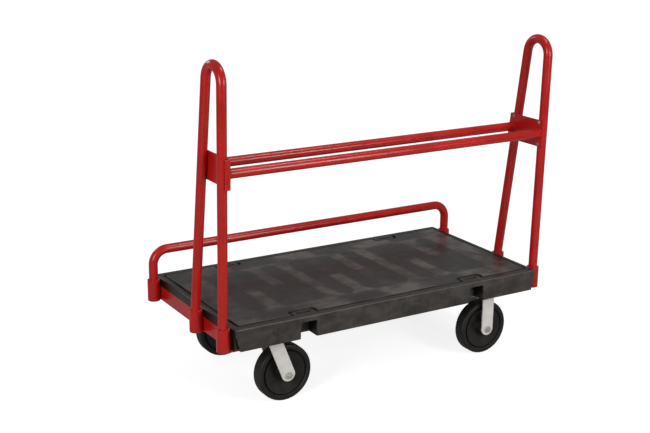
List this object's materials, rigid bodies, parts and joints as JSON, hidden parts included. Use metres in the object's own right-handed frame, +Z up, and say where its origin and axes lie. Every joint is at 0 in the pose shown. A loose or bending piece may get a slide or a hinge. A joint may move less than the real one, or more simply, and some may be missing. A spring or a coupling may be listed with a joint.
{
  "type": "panel cart",
  "caption": "Low panel cart with a moulded black deck, a leaning red tube rack along one side, a stop rail along the other, and large casters, for moving sheets on edge.",
  "frame": {"origin": "on the floor under the middle of the cart", "axes": "+X along the length towards the rigid casters, +Y from the rack towards the stop rail, +Z up"},
  "size_m": [1.366, 0.66, 1.206],
  "materials": {
    "deck_plastic": "satin moulded plastic, lightly worn",
    "red_paint": "gloss powder coat",
    "zinc_steel": "zinc plated",
    "bearing_steel": "ground and oiled",
    "tyre_rubber": "matte moulded rubber",
    "wheel_core": "satin moulded plastic"
  },
  "bodies": {
    "cart": {"deck": "deck_plastic", "left_end_bar": "red_paint", "right_end_bar": "red_paint", "left_end_bolts": "zinc_steel", "right_end_bolts": "zinc_steel", "front_left_socket": "red_paint", "middle_left_socket": "red_paint", "rear_left_socket": "red_paint", "front_right_socket": "red_paint", "middle_right_socket": "red_paint", "rear_right_socket": "red_paint", "left_upright": "red_paint", "right_upright": "red_paint", "left_rack_bracket": "red_paint", "right_rack_bracket": "red_paint", "left_bracket_screws": "zinc_steel", "right_bracket_screws": "zinc_steel", "front_rack_bar": "red_paint", "rear_rack_bar": "red_paint", "rear_rail": "red_paint", "caster_bolts": "zinc_steel", "front_left_plate": "zinc_steel", "front_left_kingpin": "zinc_steel", "front_left_kingpin_nut": "zinc_steel", "rear_left_plate": "zinc_steel", "rear_left_kingpin": "zinc_steel", "rear_left_kingpin_nut": "zinc_steel", "front_right_fork": "zinc_steel", "front_right_sleeve": "bearing_steel", "front_right_axle": "zinc_steel", "front_right_axle_nut": "zinc_steel", "rear_right_fork": "zinc_steel", "rear_right_sleeve": "bearing_steel", "rear_right_axle": "zinc_steel", "rear_right_axle_nut": "zinc_steel"},
    "front_left_swivel": {"front_left_fork": "zinc_steel", "front_left_balls": "bearing_steel", "front_left_sleeve": "bearing_steel", "front_left_axle": "zinc_steel", "front_left_axle_nut": "zinc_steel"},
    "rear_left_swivel": {"rear_left_fork": "zinc_steel", "rear_left_balls": "bearing_steel", "rear_left_sleeve": "bearing_steel", "rear_left_axle": "zinc_steel", "rear_left_axle_nut": "zinc_steel"},
    "front_left_wheel": {"front_left_tyre": "tyre_rubber", "front_left_core": "wheel_core", "front_left_rollers": "bearing_steel"},
    "rear_left_wheel": {"rear_left_tyre": "tyre_rubber", "rear_left_core": "wheel_core", "rear_left_rollers": "bearing_steel"},
    "front_right_wheel": {"front_right_tyre": "tyre_rubber", "front_right_core": "wheel_core", "front_right_rollers": "bearing_steel"},
    "rear_right_wheel": {"rear_right_tyre": "tyre_rubber", "rear_right_core": "wheel_core", "rear_right_rollers": "bearing_steel"}
  },
  "joints": [
    {"name": "front_left_swivel_turn", "type": "hinge", "parent": "cart", "child": "front_left_swivel", "pos_m": [-0.459, -0.232, 0.243], "axis": [0, 0, 1], "continuous": true},
    {"name": "rear_left_swivel_turn", "type": "hinge", "parent": "cart", "child": "rear_left_swivel", "pos_m": [-0.459, 0.232, 0.243], "axis": [0, 0, 1], "continuous": true},
    {"name": "front_left_wheel_roll", "type": "hinge", "parent": "front_left_swivel", "child": "front_left_wheel", "pos_m": [-0.408, -0.232, 0.103], "axis": [0, 1, 0], "continuous": true},
    {"name": "rear_left_wheel_roll", "type": "hinge", "parent": "rear_left_swivel", "child": "rear_left_wheel", "pos_m": [-0.408, 0.232, 0.103], "axis": [0, 1, 0], "continuous": true},
    {"name": "front_right_wheel_roll", "type": "hinge", "parent": "cart", "child": "front_right_wheel", "pos_m": [0.459, -0.232, 0.103], "axis": [0, 1, 0], "continuous": true},
    {"name": "rear_right_wheel_roll", "type": "hinge", "parent": "cart", "child": "rear_right_wheel", "pos_m": [0.459, 0.232, 0.103], "axis": [0, 1, 0], "continuous": true}
  ]
}
